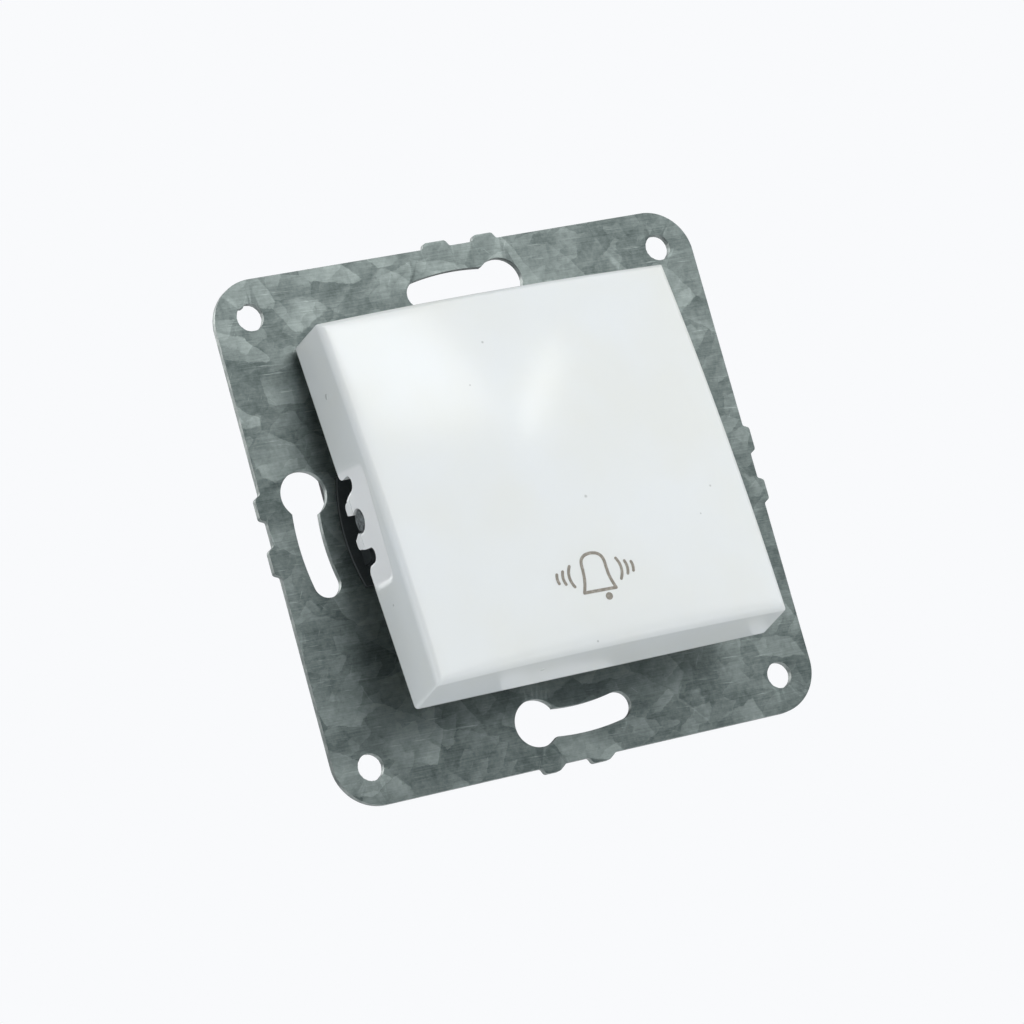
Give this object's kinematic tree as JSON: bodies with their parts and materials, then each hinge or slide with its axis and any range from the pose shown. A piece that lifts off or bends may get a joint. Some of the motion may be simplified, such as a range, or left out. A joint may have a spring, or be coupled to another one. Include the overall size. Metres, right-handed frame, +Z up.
{
  "type": "doorbell push button",
  "caption": "Flush doorbell push button: sprung rocking cover with a bell sign on a steel support plate with arc keyholes, contact housing behind.",
  "frame": {"origin": "centre of the support plate on its back face, on the wall plane", "axes": "+Z up the wall, -Y out of the wall through the cover's face, +X to the viewer's right"},
  "size_m": [0.0728, 0.039, 0.0728],
  "materials": {
    "galvanised_steel": "galvanised sheet with spangle, satin",
    "white_plastic": "smooth moulded, glossy",
    "grey_plastic": "fine moulded texture, matt",
    "natural_plastic": "smooth moulded, satin",
    "brass": "stamped, satin",
    "silver": "bright contact tips",
    "spring_steel": "drawn wire",
    "zinc_plated_steel": "zinc plated, bright"
  },
  "bodies": {
    "fixed_parts": {"support_plate": "galvanised_steel", "rivet_1": "galvanised_steel", "rivet_2": "galvanised_steel", "rivet_3": "galvanised_steel", "rivet_4": "galvanised_steel", "housing": "grey_plastic", "bearing_carrier": "grey_plastic", "fixed_contact_left": "brass", "fixed_contact_right": "brass", "terminal_block_left": "brass", "terminal_block_right": "brass", "fixed_tip_left": "silver", "fixed_tip_right": "silver", "return_spring": "spring_steel", "terminal_screw_left": "zinc_plated_steel", "terminal_screw_right": "zinc_plated_steel"},
    "cover": {"push_cover": "white_plastic"},
    "plunger_group": {"plunger": "natural_plastic", "contact_bridge": "brass", "bridge_spring": "spring_steel", "moving_tip_left": "silver", "moving_tip_right": "silver"}
  },
  "joints": [
    {"name": "cover_rock", "type": "hinge", "parent": "fixed_parts", "child": "cover", "pos_m": [0, -0.00705, 0.00015], "axis": [1, 0, 0], "range_deg": [0, 8], "stiffness_Nm_per_rad": 0.12, "springref_deg": -20.05},
    {"name": "plunger_slide", "type": "slide", "parent": "fixed_parts", "child": "plunger_group", "axis": [0, 1, 0], "range_m": [0, 0.00154], "deforming": ["return_spring"]}
  ],
  "couplings": [
    {"joint": "plunger_slide", "follows": "cover_rock", "m_per_rad": 0.011}
  ]
}
